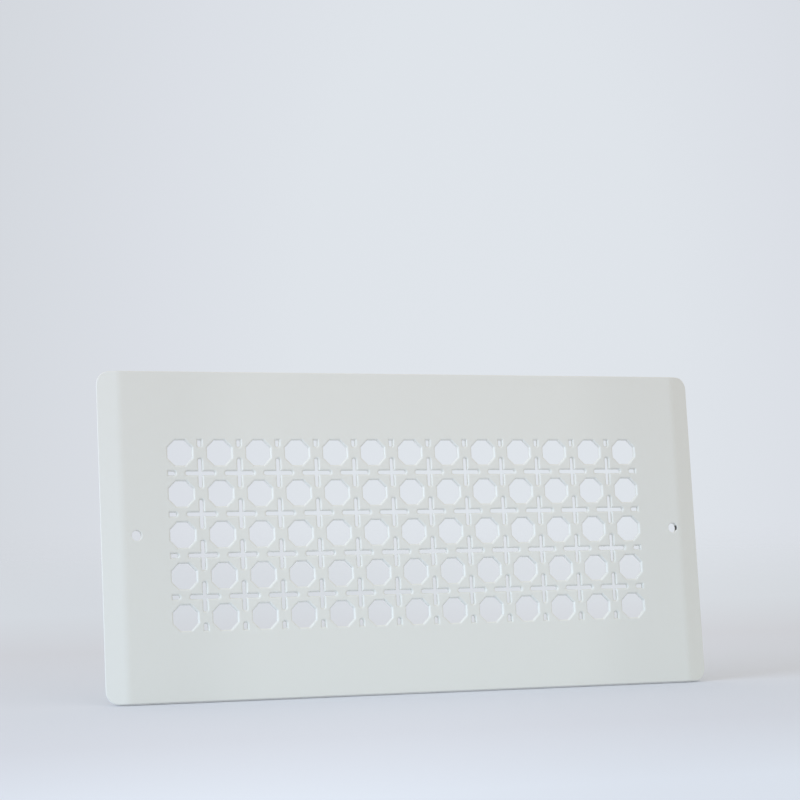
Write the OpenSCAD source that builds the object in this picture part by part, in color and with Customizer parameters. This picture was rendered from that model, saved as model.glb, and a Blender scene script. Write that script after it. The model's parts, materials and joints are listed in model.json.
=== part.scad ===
// Wall vent cover: one sheet of steel with a cane-webbing pattern cut through it and both ends bent back.
// X runs across the cover, Z runs up and the front faces -Y. The flat panel's back lies on Y = 0,
// and the origin is midway between the two screw holes.

/* [Sheet] */
// Width of the cover over both bent ends
cover_w = 305.4; // [290:0.2:360]
// Height of the cover
cover_h = 152.4; // [120:0.2:240]
// Thickness of the coated sheet
sheet_t = 3; // [0.8:0.1:5]
// Radius of the four corners
corner_r = 6; // [1:0.5:10]

/* [Bent ends] */
// Width of each bent end seen from the front, from the start of the bend to the edge
end_w = 11.6; // [9:0.1:14]
// Angle that each end turns back
bend_angle = 14.5; // [5:0.5:25]
// Radius inside each bend, at the back of the sheet
bend_r = 10; // [2:1:20]

/* [Cane pattern] */
// Distance between the centres of neighbouring octagons
pitch = 19.05; // [16:0.05:20]
// Octagons in a row
columns = 13; // [3:1:13]
// Rows of octagons
rows = 5; // [1:1:5]
// Width of an octagon across its flats
octagon_w = 12; // [8:0.1:13.5]
// Width of a slot
slot_w = 2.1; // [1.5:0.1:4]
// Length of a level slot
level_slot_l = 14.4; // [8:0.1:15.5]
// Length of an upright slot
upright_slot_l = 13.8; // [8:0.1:15.5]
// How far the pattern sits to the left of the cover's middle
pattern_shift = 0.3; // [-2:0.1:2]

/* [Screw holes] */
// Distance between the two screw holes
hole_spacing = 275.2; // [270:0.2:276]
// Diameter of a screw hole
hole_d = 4.7; // [3:0.1:6]
// How far the pair of holes sits to the right of the cover's middle
hole_shift = 1.1; // [-2:0.1:2]

/* [Hidden] */

$fn = 64;
// How far a cutting shape reaches past what it cuts
reach = 5;
// Where a curve would only touch a flat face, this small step makes the two cross at a clear point
hair = 0.001;

// Where the flat panel ends and the bend begins, on either side of the middle
panel_half = cover_w / 2 - end_w;
// Radius outside the bend, at the front of the sheet
front_r = bend_r + sheet_t;
// Length of the flat strip past the bend, which brings its front edge out to the cover's full width
strip_l = (end_w - front_r * sin(bend_angle)) / cos(bend_angle);

// Centres of the end octagons, and the edge of the openwork along their outer flats
last_x = (columns - 1) / 2 * pitch;
last_z = (rows - 1) / 2 * pitch;
openwork = [2 * last_x + octagon_w, 2 * last_z + octagon_w];

// A flat octagon that stands on one of its flats
module octagon(across) {
    rotate(180 / 8) circle(d = across / cos(180 / 8), $fn = 8);
}

// A flat slot with round ends, along X
module slot(length) {
    end_x = (length - slot_w) / 2;
    square([2 * end_x, slot_w], center = true);
    for (side = [-1, 1]) translate([side * end_x, 0]) circle(d = slot_w);
}

// The two slots that cross between four octagons
module cross_slots() {
    slot(level_slot_l);
    rotate(90) slot(upright_slot_l);
}

// The cane webbing: octagons on a square grid, and crosses in the gaps and round the rim.
// The rim's crosses are trimmed along the outer flats, which leaves short stubs.
module cane_openings() {
    for (x = [-last_x : pitch : last_x], z = [-last_z : pitch : last_z])
        translate([x, z]) octagon(octagon_w);
    intersection() {
        square(openwork, center = true);
        for (x = [-last_x - pitch / 2 : pitch : last_x + pitch], z = [-last_z - pitch / 2 : pitch : last_z + pitch])
            translate([x, z]) cross_slots();
    }
}

// Turns a flat shape drawn in X and Z into a cutting block through the panel
module cut_through() {
    rotate([90, 0, 0]) translate([0, 0, -reach]) linear_extrude(height = sheet_t + 2 * reach) children();
}

// All that lies behind one face of the sheet at a bent end, seen from above and round the bend's centre:
// behind the panel, behind the curve and behind the strip. The three overlap behind the face.
module behind_face(radius, extra) {
    translate([-2 * panel_half, -radius]) square([2 * panel_half, radius + extra]);
    intersection() {
        circle(r = radius);
        rotate(bend_angle) translate([-2 * radius, -2 * radius]) square([2 * radius + strip_l / 2, 2 * radius]);
    }
    rotate(bend_angle) translate([0, hair - radius]) square([strip_l + extra, radius - hair + extra]);
}

// The sheet edge-on, seen from above: what lies behind its front face and not behind its back face
module edge_profile() {
    for (side = [0, 1]) mirror([side, 0]) translate([panel_half, bend_r]) difference() {
        behind_face(front_r, 0);
        behind_face(bend_r, reach);
    }
}

// What comes off a square corner at the origin to round it
module corner_waste() {
    translate([-corner_r, -corner_r]) difference() {
        square(corner_r + reach);
        circle(r = corner_r + hair);
    }
}

// Cutting blocks for the four corners, square to the bent strips
module corner_cuts() {
    for (side = [0, 1]) mirror([side, 0, 0])
        translate([panel_half, bend_r, 0]) rotate(bend_angle) translate([strip_l, -bend_r, 0])
            cut_through() for (end = [0, 1]) mirror([0, end]) translate([0, cover_h / 2]) corner_waste();
}

// The sheet before the screw holes are cut, with its middle on the origin
module cut_sheet() {
    difference() {
        linear_extrude(height = cover_h, center = true) edge_profile();
        corner_cuts();
        cut_through() translate([-pattern_shift, 0]) cane_openings();
    }
}

// The finished cover
module vent_cover() {
    color("#d9dcda") difference() {
        translate([-hole_shift, 0, 0]) cut_sheet();
        for (side = [-1, 1]) translate([side * hole_spacing / 2, 0, 0]) cut_through() circle(d = hole_d);
    }
}

vent_cover();
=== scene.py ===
# %% [markdown]
# # A powder-coated wall vent cover
# The real piece is one sheet of steel. A laser cuts a cane-webbing pattern through it, a press turns both
# ends back a little, and an off-white powder is sprayed on and baked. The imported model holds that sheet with
# sharp laser-cut edges. What makes it look real is the coat: it rounds every edge, lies in a faint ripple
# and has a quiet gloss. This notebook makes the coated sheet and sets it on a pale table in soft light.

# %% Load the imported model
import json
import math

import bmesh
import bpy
from mathutils import Euler, Matrix, Vector


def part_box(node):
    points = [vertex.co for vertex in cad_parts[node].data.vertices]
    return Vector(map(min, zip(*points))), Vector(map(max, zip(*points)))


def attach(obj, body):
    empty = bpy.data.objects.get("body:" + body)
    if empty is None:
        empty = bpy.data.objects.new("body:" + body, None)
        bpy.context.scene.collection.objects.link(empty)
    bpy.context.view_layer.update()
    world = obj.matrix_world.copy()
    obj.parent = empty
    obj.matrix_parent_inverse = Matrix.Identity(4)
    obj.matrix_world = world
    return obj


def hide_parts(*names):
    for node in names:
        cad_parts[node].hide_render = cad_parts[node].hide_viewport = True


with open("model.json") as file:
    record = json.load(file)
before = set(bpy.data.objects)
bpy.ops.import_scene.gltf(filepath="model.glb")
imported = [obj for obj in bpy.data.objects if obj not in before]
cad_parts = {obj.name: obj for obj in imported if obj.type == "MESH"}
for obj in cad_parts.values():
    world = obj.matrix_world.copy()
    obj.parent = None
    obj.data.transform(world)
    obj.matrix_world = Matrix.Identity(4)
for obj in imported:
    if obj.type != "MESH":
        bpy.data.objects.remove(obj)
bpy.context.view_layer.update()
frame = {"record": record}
MM = 0.001

# %% [markdown]
# ## Camera
# The photograph looks up the cover from its left, a little below the level of its middle as the cover itself
# stands. The place, the turn and the lens were worked out from the pattern, whose octagons lie on an even
# grid: a camera with a long lens about 1.1 m away is the one that puts them all where the photograph does.

# %% Place the camera
SENSOR_MM = 36.0
camera_data = bpy.data.cameras.new("camera")
camera_data.sensor_width = SENSOR_MM
camera_data.lens = 105.75
camera_data.clip_start = 0.01
camera_data.clip_end = 50.0
camera = bpy.data.objects.new("camera", camera_data)
camera.location = (-0.41956, -1.04022, -0.10095)
camera.rotation_euler = Euler([math.radians(a) for a in (98.3844, 2.8864, -21.3504)])
bpy.context.scene.collection.objects.link(camera)
bpy.context.scene.camera = camera
print("Camera distance, m:", round(camera.location.length, 3))

# %% [markdown]
# ## The sheet's sizes
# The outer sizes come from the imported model's box and the screw holes from its record, so the coated sheet
# follows them. The rest are the sizes of the pattern and the bends, in millimetres.

# %% Read and name the sizes
low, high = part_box("vent_cover")
HOLES = frame["record"]["mounts"][0]["dims"]
COVER_W = high.x - low.x
COVER_H = high.z - low.z
SHEET_T = -low.y
SHEET_MIDDLE_X = (low.x + high.x) / 2
CORNER_R = 6 * MM

END_W = 11.6 * MM
BEND_ANGLE = math.radians(14.5)
BEND_R = 10 * MM

PITCH = 19.05 * MM
COLUMNS = 13
ROWS = 5
OCTAGON_W = 12 * MM
SLOT_W = 2.1 * MM
LEVEL_SLOT_L = 14.4 * MM
UPRIGHT_SLOT_L = 13.8 * MM
PATTERN_SHIFT = 0.3 * MM
HOLE_SPACING = HOLES["spacing_x_mm"] * MM
HOLE_R = HOLES["hole_r_mm"] * MM

# The coat narrows each opening of the pattern by this much on every side
COAT_T = 0.15 * MM
# Its rims are rounded to this radius in front, and fall away by this much towards the back
RIM_R = 0.95 * MM
RIM_BACK_W = 1.15 * MM
# The sheet's outer edge and the screw holes are rounded less
PLAIN_R = 0.4 * MM
print("Sheet thickness, mm:", round(SHEET_T / MM, 2))

# %% [markdown]
# ## Outlines
# The cover starts as a flat blank, as it does in the shop. Each opening is a closed row of points, and so is
# the blank's edge. All of them run with the steel on their left, so one rule can later tell which way the
# edge of the steel faces. Curves are made of short straight steps, fine enough that they look round.

# %% Draw arcs, slots and octagons as points
ARC_STEP = math.radians(15)


def arc(x, z, radius, start, turn):
    """Points on an arc round (x, z), from the start angle through the turn, both in radians."""
    steps = max(2, round(abs(turn) / ARC_STEP))
    angles = [start + turn * i / steps for i in range(steps + 1)]
    return [(x + radius * math.cos(a), z + radius * math.sin(a)) for a in angles]


def octagon(x, z):
    """The eight corners of an octagon round (x, z) that stands on one of its flats."""
    corner_r = OCTAGON_W / 2 / math.cos(math.pi / 8)
    angles = [-(i + 0.5) * math.pi / 4 for i in range(8)]
    return [(x + corner_r * math.cos(a), z + corner_r * math.sin(a)) for a in angles]


def round_tip(x, z, reach_x, reach_z):
    """The rounded end of a slot that leaves (x, z) in one direction."""
    length = math.hypot(reach_x, reach_z)
    away = math.atan2(reach_z, reach_x)
    tip = (x + reach_x * (1 - SLOT_W / 2 / length), z + reach_z * (1 - SLOT_W / 2 / length))
    return arc(*tip, SLOT_W / 2, away + math.pi / 2, -math.pi)


def crossed_slots(x, z):
    """Four rounded arms round a middle with four inner corners."""
    points = []
    arms = [(LEVEL_SLOT_L / 2, 0), (0, -UPRIGHT_SLOT_L / 2), (-LEVEL_SLOT_L / 2, 0), (0, UPRIGHT_SLOT_L / 2)]
    for i, (reach_x, reach_z) in enumerate(arms):
        points += round_tip(x, z, reach_x, reach_z)
        turn = -math.pi / 4 - i * math.pi / 2
        inner = SLOT_W / 2 * math.sqrt(2)
        points.append((x + inner * math.cos(turn), z + inner * math.sin(turn)))
    return points


def stub(x, z, reach_x, reach_z):
    """A slot at the pattern's rim: flat at (x, z), where the rim cuts it off, and rounded at its far end."""
    side = SLOT_W / 2 / math.hypot(reach_x, reach_z)
    across = (-reach_z * side, reach_x * side)
    flat = [(x - across[0], z - across[1]), (x + across[0], z + across[1])]
    return flat + round_tip(x, z, reach_x, reach_z)


print("Points round an octagon:", len(octagon(0, 0)), " round a cross:", len(crossed_slots(0, 0)))

# %% Lay out the blank and its openings
LAST_X = (COLUMNS - 1) / 2 * PITCH
LAST_Z = (ROWS - 1) / 2 * PITCH
RIM_X = LAST_X + OCTAGON_W / 2
RIM_Z = LAST_Z + OCTAGON_W / 2
PANEL_HALF = COVER_W / 2 - END_W
FRONT_R = BEND_R + SHEET_T
MIDDLE_R = BEND_R + SHEET_T / 2
STRIP_L = (END_W - FRONT_R * math.sin(BEND_ANGLE)) / math.cos(BEND_ANGLE)
BLANK_HALF = PANEL_HALF + MIDDLE_R * BEND_ANGLE + STRIP_L

columns = [-PATTERN_SHIFT - LAST_X + i * PITCH for i in range(COLUMNS)]
rows = [-LAST_Z + i * PITCH for i in range(ROWS)]
between_columns = [x + PITCH / 2 for x in columns[:-1]]
between_rows = [z + PITCH / 2 for z in rows[:-1]]
stub_in_x = LAST_X + PITCH / 2 - LEVEL_SLOT_L / 2 - RIM_X
stub_in_z = LAST_Z + PITCH / 2 - UPRIGHT_SLOT_L / 2 - RIM_Z

openings = [octagon(x, z) for x in columns for z in rows]
openings += [crossed_slots(x, z) for x in between_columns for z in between_rows]
for end in (-1, 1):
    openings += [stub(end * RIM_X - PATTERN_SHIFT, z, end * stub_in_x, 0) for z in between_rows]
    openings += [stub(x, end * RIM_Z, 0, end * stub_in_z) for x in between_columns]

screw_hole_x = [end * HOLE_SPACING / 2 - SHEET_MIDDLE_X for end in (-1, 1)]
screw_holes = [arc(x, 0, HOLE_R, 0, -2 * math.pi)[:-1] for x in screw_hole_x]

blank = []
corner_x, corner_z = BLANK_HALF - CORNER_R, COVER_H / 2 - CORNER_R
for i, (side_x, side_z) in enumerate([(1, 1), (-1, 1), (-1, -1), (1, -1)]):
    blank += arc(side_x * corner_x, side_z * corner_z, CORNER_R, i * math.pi / 2, math.pi / 2)
print("Openings:", len(openings) + len(screw_holes), " blank width, mm:", round(2 * BLANK_HALF / MM, 2))

# %% [markdown]
# ## The coated blank
# Each outline is repeated in rings through the thickness. The rings step round a quarter circle at the
# front face, and from there fall away in a longer curve, a quarter ellipse, to the back. That is the soft
# edge that the baked coat has. It is widest round the pattern's openings, whose rims the photograph shows
# rounded right through, and much smaller on the outer edge and the screw holes. Blender's bevel would do
# something like it, but here every ring is placed exactly, so the flat faces between stay truly flat.

# %% Work out the rings of a cut edge
EDGE_STEPS = 3
LAST_RING = 2 * EDGE_STEPS


def into_steel(points):
    """For each point, the step sideways that moves both of its edges into the steel by 1."""
    steps = []
    for before, here, after in zip(points[-1:] + points[:-1], points, points[1:] + points[:1]):
        a = Vector((here[0] - before[0], here[1] - before[1])).normalized()
        b = Vector((after[0] - here[0], after[1] - here[1])).normalized()
        left_a, left_b = Vector((-a.y, a.x)), Vector((-b.y, b.x))
        steps.append((left_a + left_b) / (1 + left_a.dot(left_b)))
    return steps


def cut_edge(front_r, back_w, coat_t):
    """The rings down a cut edge: how far each lies in the steel, its place in Y and its tilt.

    The tilt says where the ring's surface faces, from -1 for the front to 1 for the back.
    """
    widest_y = front_r - SHEET_T
    turns = [i / EDGE_STEPS * math.pi / 2 for i in range(EDGE_STEPS + 1)]
    rings = []
    for a in turns:
        rings.append((front_r * (1 - math.sin(a)) - coat_t, widest_y - front_r * math.cos(a), -math.cos(a)))
    for a in turns[1:]:
        tilt = math.sin(a) / math.hypot(math.sin(a), math.cos(a) * widest_y / back_w)
        rings.append((back_w * (1 - math.cos(a)) - coat_t, widest_y * (1 - math.sin(a)), tilt))
    return rings


pattern_rim = cut_edge(RIM_R, RIM_BACK_W, COAT_T)
plain_edge = cut_edge(PLAIN_R, PLAIN_R, 0)
print("Rings down a pattern rim, mm into the steel:", [round(ring[0] / MM, 2) for ring in pattern_rim])

# %% [markdown]
# ## The bare part of one hole
# Powder is drawn on by a charge, which hardly reaches into a small hole. In the photograph, a stretch of the
# right screw hole's wall is dark. It is taken for steel that the powder left bare, so the faces there get a
# second material, and their number says which one.

# %% Build the rings and fill the faces
# The bare stretch starts at this ring, so the hole's front rim stays coated all round
BARE_RING = EDGE_STEPS - 1
# It runs between these two turns, in degrees anticlockwise round the hole from its right side
BARE_FROM, BARE_TO = -32, 20


def in_bare_part(x, z):
    """Whether a point on the right screw hole's wall lies in its bare stretch."""
    turn = math.degrees(math.atan2(z, x - screw_hole_x[1]))
    return BARE_FROM <= turn <= BARE_TO


outlines = [(blank, plain_edge)] + [(points, pattern_rim) for points in openings]
outlines += [(points, plain_edge) for points in screw_holes]

mesh = bmesh.new()
tilts = mesh.verts.layers.float.new("tilt")
face_edges = {0: [], LAST_RING: []}
for points, edge in outlines:
    inward = into_steel(points)
    rings = []
    for inset, y, tilt in edge:
        places = [(x + inset * step.x, y, z + inset * step.y) for (x, z), step in zip(points, inward)]
        rings.append([mesh.verts.new(place) for place in places])
        for vert in rings[-1]:
            vert[tilts] = tilt
    for depth, (upper, lower) in enumerate(zip(rings[:-1], rings[1:])):
        for i, (x, z) in enumerate(points):
            face = mesh.faces.new((upper[i], upper[i - 1], lower[i - 1], lower[i]))
            if points is screw_holes[1] and depth >= BARE_RING and in_bare_part(x, z):
                face.material_index = 1
    for level, edges in face_edges.items():
        ring = rings[level]
        edges += [mesh.edges.get((ring[i - 1], ring[i])) for i in range(len(ring))]
for level, edges in face_edges.items():
    facing = Vector((0, -1, 0)) if level == 0 else Vector((0, 1, 0))
    made = bmesh.ops.triangle_fill(mesh, use_beauty=True, edges=edges, normal=facing)
    faces = [g for g in made["geom"] if isinstance(g, bmesh.types.BMFace)]
    for face in faces:
        if face.normal.dot(facing) < 0:
            face.normal_flip()
    area_cm2 = sum(face.calc_area() for face in faces) * 1e4
    print("Flat face:", len(faces), "triangles, area, cm2:", round(area_cm2, 2))

# %% [markdown]
# ## Shading directions
# Before the bending, it is easy to say which way each bit of surface faces: a flat face looks straight
# ahead or straight back, and a ring looks out of the steel by the tilt that was kept with it. Saying it
# outright keeps the wide flat faces free of the blotches that averaged normals leave, and lets short
# straight steps shade as one curve.

# %% Cut the blank where it will bend, and work out where each corner faces
BEND_STEPS = 6
# A point closer to a cut than this counts as lying on it
ON_THE_CUT = 1e-8
for end in (-1, 1):
    for i in range(BEND_STEPS + 1):
        cut_x = end * (PANEL_HALF + MIDDLE_R * BEND_ANGLE * i / BEND_STEPS)
        everything = mesh.verts[:] + mesh.edges[:] + mesh.faces[:]
        bmesh.ops.bisect_plane(
            mesh, geom=everything, dist=ON_THE_CUT, plane_co=(cut_x, 0, 0), plane_no=(1, 0, 0)
        )
mesh.normal_update()
SMOOTH_LIMIT = math.cos(math.radians(30))
FLAT = 0.999


def facing_of(corner):
    """Where the surface faces at one corner of a face, on the flat blank."""
    face = corner.face
    if abs(face.normal.y) > FLAT:
        return Vector((0, math.copysign(1, face.normal.y), 0))
    own = Vector((face.normal.x, 0, face.normal.z)).normalized()
    sideways = Vector()
    for other in corner.vert.link_faces:
        if abs(other.normal.y) <= FLAT:
            level = Vector((other.normal.x, 0, other.normal.z)).normalized()
            if level.dot(own) > SMOOTH_LIMIT:
                sideways += level * other.calc_area()
    tilt = corner.vert[tilts]
    return sideways.normalized() * math.sqrt(1 - tilt * tilt) + Vector((0, tilt, 0))


facings = [facing_of(corner) for face in mesh.faces for corner in face.loops]
flat_x = [corner.vert.co.x for face in mesh.faces for corner in face.loops]
print("Corners that know where they face:", len(facings))

# %% [markdown]
# ## Bending
# The blank is bent as a press brake does it: past the bend line, a point keeps its distance along the sheet
# but goes round the bend's centre, and past the curve it goes on straight. The directions turn with it.


# %% Bend both ends and hand the piece to the frame
def turn_at(x):
    """How far the sheet has turned back at a distance x from its middle, measured along the blank."""
    return min(BEND_ANGLE, max(0.0, (abs(x) - PANEL_HALF) / MIDDLE_R))


def bent(point):
    """Where a point of the flat blank lies once the ends are bent."""
    side = math.copysign(1, point.x)
    turn = turn_at(point.x)
    if turn == 0:
        return point
    past = abs(point.x) - PANEL_HALF - MIDDLE_R * turn
    radius = BEND_R - point.y
    x = PANEL_HALF + radius * math.sin(turn) + past * math.cos(turn)
    y = BEND_R - radius * math.cos(turn) + past * math.sin(turn)
    return Vector((side * x, y, point.z))


for vert in mesh.verts:
    vert.co = bent(vert.co) + Vector((SHEET_MIDDLE_X, 0, 0))
turned = [Matrix.Rotation(math.copysign(turn_at(x), x), 3, "Z") @ n for x, n in zip(flat_x, facings)]

coated_data = bpy.data.meshes.new("coated_cover")
mesh.to_mesh(coated_data)
mesh.free()
coated_data.shade_smooth()
coated_data.normals_split_custom_set(turned)
coated = bpy.data.objects.new("coated_cover", coated_data)
bpy.context.scene.collection.objects.link(coated)
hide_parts("vent_cover")
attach(coated, "root")
print("Coated cover:", len(coated_data.polygons), "faces")

# %% [markdown]
# ## Colours and nodes
# Colours are written as the hex values that a paint chart or an image editor shows. Blender's shaders work
# with linear light, so one function turns the one into the other. A second small function adds a node, sets
# it and links it, which keeps each material short enough to read, and a third puts colours on a ramp.


# %% Helpers for colours and nodes
def linear(hex_colour):
    """A colour written as sRGB hex, as opaque linear light."""
    channels = [int(hex_colour[i : i + 2], 16) / 255 for i in (1, 3, 5)]
    return (*[c / 12.92 if c <= 0.04045 else ((c + 0.055) / 1.055) ** 2.4 for c in channels], 1.0)


def add_node(tree, kind, inputs=None, **properties):
    """Adds a node. An input is given a value, or another node's output to link to."""
    node = tree.nodes.new(kind)
    for name, value in properties.items():
        setattr(node, name, value)
    for name, value in (inputs or {}).items():
        if isinstance(value, bpy.types.NodeSocket):
            tree.links.new(value, node.inputs[name])
        else:
            node.inputs[name].default_value = value
    return node


def set_stops(ramp, stops):
    """Puts each colour on a colour ramp at its place."""
    for i, (place, colour) in enumerate(stops):
        stop = ramp.color_ramp.elements[i] if i < 2 else ramp.color_ramp.elements.new(place)
        stop.position = place
        stop.color = linear(colour)


def new_material(name):
    """A material with an empty node tree, and that tree."""
    material = bpy.data.materials.new(name)
    material.use_nodes = True
    material.node_tree.nodes.clear()
    return material, material.node_tree


print("Middle grey in linear light:", round(linear("#808080")[0], 3))

# %% [markdown]
# ## Powder coat
# Polyester powder melts and flows together in the oven. It never gets quite level: a ripple called orange
# peel stays in it, with waves of one to three millimetres and only a few thousandths deep. The eye sees it
# as a softly broken gloss. Light and shade are also painted into the coat's colour: painted shade makes it
# a few hundredths greyer towards both ends than in the middle, and painted light from the pale table below
# makes it a little paler and cooler low down.

# %% Mix the off-white powder coat
PEEL_WAVE = 2.2 * MM
PEEL_DEPTH = 0.004 * MM
# The painted shade greys the coat from the first of these distances from the middle to the second
PALE_HALF, GREY_HALF = 4 * PITCH, 6.3 * PITCH
PAINTED_END_SHADE = 0.95

coat, tree = new_material("off_white_powder_coat")
places = add_node(tree, "ShaderNodeTexCoord").outputs["Object"]
spot = add_node(tree, "ShaderNodeSeparateXYZ", {"Vector": places})
# Painted light: the pale table lights the coat from below, so its lower colour is paler and cooler than its
# upper one
height = add_node(
    tree,
    "ShaderNodeMapRange",
    {"Value": spot.outputs["Z"], "From Min": -COVER_H / 2, "From Max": COVER_H / 2},
)
tone = add_node(
    tree,
    "ShaderNodeMixRGB",
    {"Fac": height.outputs["Result"], "Color1": linear("#E4E9E6"), "Color2": linear("#E2E3DE")},
)
# Painted shade: the coat's colour greys towards both ends
outwards = add_node(tree, "ShaderNodeMath", {0: spot.outputs["X"]}, operation="ABSOLUTE")
painted_greying = add_node(
    tree,
    "ShaderNodeMapRange",
    {
        "Value": outwards.outputs["Value"],
        "From Min": PALE_HALF,
        "From Max": GREY_HALF,
        "To Min": 1.0,
        "To Max": PAINTED_END_SHADE,
    },
    interpolation_type="SMOOTHSTEP",
)
tone = add_node(
    tree,
    "ShaderNodeMixRGB",
    {"Fac": 1.0, "Color1": tone.outputs["Color"], "Color2": painted_greying.outputs["Result"]},
    blend_type="MULTIPLY",
)
peel = add_node(tree, "ShaderNodeTexNoise", {"Vector": places, "Scale": 1 / PEEL_WAVE, "Detail": 1.0})
ripple = add_node(
    tree,
    "ShaderNodeBump",
    {"Height": peel.outputs["Fac"], "Distance": PEEL_DEPTH, "Strength": 1.0},
)
surface = add_node(
    tree,
    "ShaderNodeBsdfPrincipled",
    {
        "Base Color": tone.outputs["Color"],
        "Roughness": 0.32,
        "IOR": 1.5,
        "Normal": ripple.outputs["Normal"],
    },
)
add_node(tree, "ShaderNodeOutputMaterial", {"Surface": surface.outputs["BSDF"]})
coated_data.materials.append(coat)
print("Ripple, mm: wave", round(PEEL_WAVE / MM, 3), " depth", round(PEEL_DEPTH / MM, 3))

# %% [markdown]
# ## Bare steel
# The stretch of hole wall without powder is plain mild steel, as the laser left it: dark, rough and dull, so
# the eye sees a small dark crescent and no gloss. It takes one shader. Its metal share is low, because the
# thin scale of a laser cut hides most of the metal's own shine.

# %% Mix the bare steel of one hole wall
bare, tree = new_material("bare_dark_steel")
surface = add_node(
    tree,
    "ShaderNodeBsdfPrincipled",
    {"Base Color": linear("#4A4845"), "Metallic": 0.4, "Roughness": 0.55},
)
add_node(tree, "ShaderNodeOutputMaterial", {"Surface": surface.outputs["BSDF"]})
coated_data.materials.append(bare)
print("Materials on the cover:", [material.name for material in coated_data.materials])

# %% [markdown]
# ## Table
# The cover leans back a little on a pale table, so in the cover's own frame the table is what tilts: its
# level surface rises behind the cover and passes under its two back tips.

# %% Lay the table under the back tips
LEAN = math.radians(7.885)
TABLE_HALF = 30.0
foot = Vector((0, high.y, low.z))

table_mesh = bmesh.new()
bmesh.ops.create_grid(table_mesh, x_segments=1, y_segments=1, size=TABLE_HALF)
table_data = bpy.data.meshes.new("table")
table_mesh.to_mesh(table_data)
table_mesh.free()
table = bpy.data.objects.new("table", table_data)
table.location = foot
table.rotation_euler = Euler((LEAN, 0, 0))
bpy.context.scene.collection.objects.link(table)
print("Table lies under the tips at, mm:", [round(v / MM, 2) for v in foot])

# %% [markdown]
# ## The table's finish
# The table is painted matt, so it keeps the cover's shadow and shows no gloss. Light and shade are painted
# into its colour: it is palest in front, a painted shade makes it a touch darker at the cover's foot, and
# further off it turns clear, so that the backdrop takes over without an edge. This fade runs with one over
# the distance, because equal steps of that look equally wide to the eye. A painted pool of light runs off
# behind the cover, and painted shade dims the table a little to both sides of it.

# %% Mix the pale matt table
# The fade is one over the distance from a line this far in front of the foot, about where the camera stands
FADE_LENGTH = 1.06
NEAREST = 0.6
FOOT_FADE = 0.625
# The table is solid where the fade is above the first of these and clear where it is below the second
SOLID_FADE, CLEAR_FADE = 0.42, 0.2
# The painted pool of light: how far it turns right of straight back, its half width where the fade is 1,
# and the painted shade of the table beside it
POOL_TURN = math.radians(31)
POOL_HALF = 0.135
POOL_EDGE_SHADE = 0.93

matt, tree = new_material("pale_matt_table")
places = add_node(tree, "ShaderNodeTexCoord").outputs["Object"]
spot = add_node(tree, "ShaderNodeSeparateXYZ", {"Vector": places})
distance = add_node(tree, "ShaderNodeMath", {0: spot.outputs["Y"], 1: FADE_LENGTH}, operation="ADD")
distance = add_node(tree, "ShaderNodeMath", {0: distance.outputs["Value"], 1: NEAREST}, operation="MAXIMUM")
fade = add_node(
    tree,
    "ShaderNodeMath",
    {0: FOOT_FADE * FADE_LENGTH, 1: distance.outputs["Value"]},
    operation="DIVIDE",
)
ramp = add_node(tree, "ShaderNodeValToRGB", {"Fac": fade.outputs["Value"]})
# Painted light and shade along the fade: palest in front, a painted shade near the cover's foot
stops = [
    (0.0, "#E3E9F2"),
    (0.41, "#DFE5EC"),
    (0.50, "#D9DCE2"),
    (0.63, "#DBE0E8"),
    (0.72, "#DCE1EA"),
    (0.87, "#E5EDF8"),
]
set_stops(ramp, stops)
across = (math.cos(POOL_TURN), -math.sin(POOL_TURN), 0)
aside = add_node(tree, "ShaderNodeVectorMath", {0: places, 1: across}, operation="DOT_PRODUCT")
aside = add_node(tree, "ShaderNodeMath", {0: aside.outputs["Value"]}, operation="ABSOLUTE")
aside = add_node(
    tree,
    "ShaderNodeMath",
    {0: aside.outputs["Value"], 1: fade.outputs["Value"]},
    operation="MULTIPLY",
)
# Painted light: a pale pool along the stretch, painted shade to both sides
painted_light_pool = add_node(
    tree,
    "ShaderNodeMapRange",
    {"Value": aside.outputs["Value"], "From Max": POOL_HALF, "To Min": 1.0, "To Max": POOL_EDGE_SHADE},
    interpolation_type="SMOOTHSTEP",
)
lit = add_node(
    tree,
    "ShaderNodeMixRGB",
    {"Fac": 1.0, "Color1": ramp.outputs["Color"], "Color2": painted_light_pool.outputs["Result"]},
    blend_type="MULTIPLY",
)
surface = add_node(tree, "ShaderNodeBsdfDiffuse", {"Color": lit.outputs["Color"]})
thinning = add_node(
    tree,
    "ShaderNodeMapRange",
    {"Value": fade.outputs["Value"], "From Min": CLEAR_FADE, "From Max": SOLID_FADE},
    interpolation_type="SMOOTHSTEP",
)
clear = add_node(tree, "ShaderNodeBsdfTransparent")
surface = add_node(
    tree,
    "ShaderNodeMixShader",
    {0: thinning.outputs["Result"], 1: clear.outputs["BSDF"], 2: surface.outputs["BSDF"]},
)
add_node(tree, "ShaderNodeOutputMaterial", {"Surface": surface.outputs["Shader"]})
table_data.materials.append(matt)
print("Table is clear beyond, m behind the foot:", round(FADE_LENGTH * (FOOT_FADE / CLEAR_FADE - 1), 2))
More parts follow.
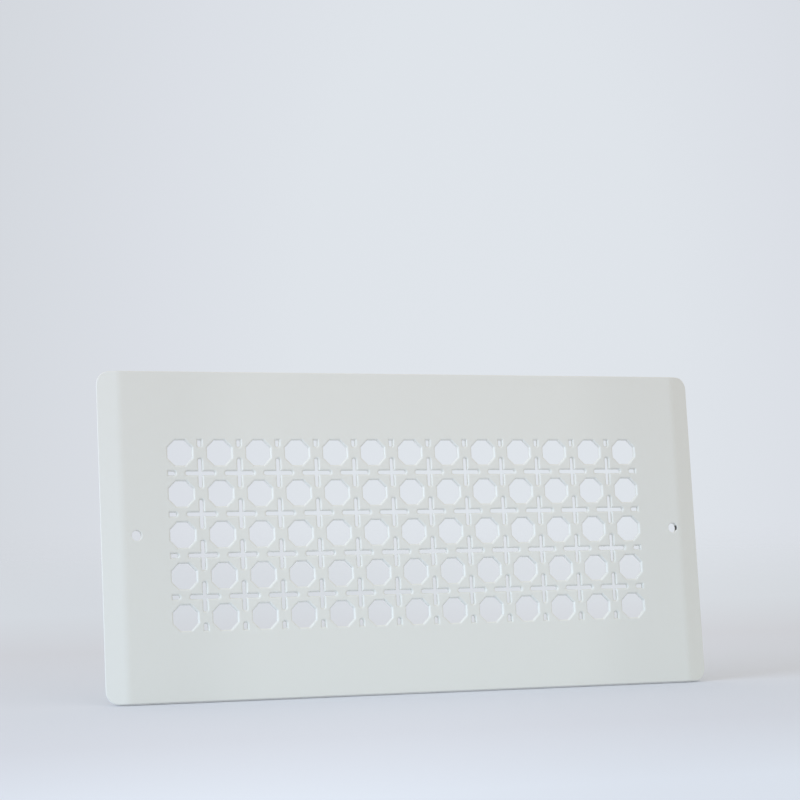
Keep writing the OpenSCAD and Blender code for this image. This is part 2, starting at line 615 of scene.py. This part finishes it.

# %% [markdown]
# ## Light
# The light is soft daylight from a window on the left, a little above the cover, and the pale room fills in
# the rest. The world stands for the room: it lights the cover evenly, and where the camera looks straight
# at it, it shows the backdrop with a painted pool of light, palest in a tall oval behind the cover.

# %% Set the room
ROOM_LIGHT = 0.864
BACKDROP_LIGHT_POOL_CENTRE = Vector((0.40, 0.90, 0.08)).normalized()
OVAL = (1.0, 1.0, 0.5)
world = bpy.data.worlds.new("room")
bpy.context.scene.world = world
world.use_nodes = True
tree = world.node_tree
tree.nodes.clear()
direction = add_node(tree, "ShaderNodeTexCoord").outputs["Generated"]
oval = add_node(tree, "ShaderNodeVectorMath", {0: direction, 1: OVAL}, operation="MULTIPLY")
oval = add_node(tree, "ShaderNodeVectorMath", {0: oval.outputs["Vector"]}, operation="NORMALIZE")
nearness = add_node(
    tree, "ShaderNodeVectorMath", {0: oval.outputs["Vector"], 1: BACKDROP_LIGHT_POOL_CENTRE}, operation="DOT_PRODUCT"
)
away = add_node(tree, "ShaderNodeMath", {0: nearness.outputs["Value"]}, operation="ARCCOSINE")
ramp = add_node(tree, "ShaderNodeValToRGB", {"Fac": away.outputs["Value"]})
# Painted light on the backdrop: palest at the oval's centre, with painted shade further away from it
stops = [(0.0, "#E0E5EB"), (0.08, "#DFE4EA"), (0.14, "#DBDFE6"), (0.22, "#D4D8DE"), (1.0, "#D4D8DE")]
set_stops(ramp, stops)
room = add_node(tree, "ShaderNodeBackground", {"Color": linear("#FFFBF6"), "Strength": ROOM_LIGHT})
backdrop = add_node(tree, "ShaderNodeBackground", {"Color": ramp.outputs["Color"], "Strength": 1.0})
path = add_node(tree, "ShaderNodeLightPath")
shown = add_node(
    tree,
    "ShaderNodeMixShader",
    {0: path.outputs["Is Camera Ray"], 1: room.outputs["Background"], 2: backdrop.outputs["Background"]},
)
add_node(tree, "ShaderNodeOutputWorld", {"Surface": shown.outputs["Shader"]})
bpy.context.scene.view_settings.view_transform = "Standard"
print("Room light:", ROOM_LIGHT, " backdrop colours:", len(stops))

# %% [markdown]
# ## Window
# A large square area lamp stands for the window and points at the cover. Its size makes the shadows soft.
# It stands almost square to the side, so it shines on the rims that face left and only grazes the front,
# and that is what draws the pattern's edges. Its tint is the cool one of daylight.

# %% Hang the window lamp
WINDOW_PLACE = Vector((-4.0, -1.08, 1.2))
WINDOW_SIZE = 2.2
WINDOW_POWER = 99.0

window_data = bpy.data.lights.new("window", "AREA")
window_data.shape = "SQUARE"
window_data.size = WINDOW_SIZE
window_data.energy = WINDOW_POWER
window_data.color = linear("#D2E5FF")[:3]
window = bpy.data.objects.new("window", window_data)
window.location = WINDOW_PLACE
window.rotation_euler = (-WINDOW_PLACE).to_track_quat("-Z", "Y").to_euler()
bpy.context.scene.collection.objects.link(window)
print("Window distance, m:", round(WINDOW_PLACE.length, 2))
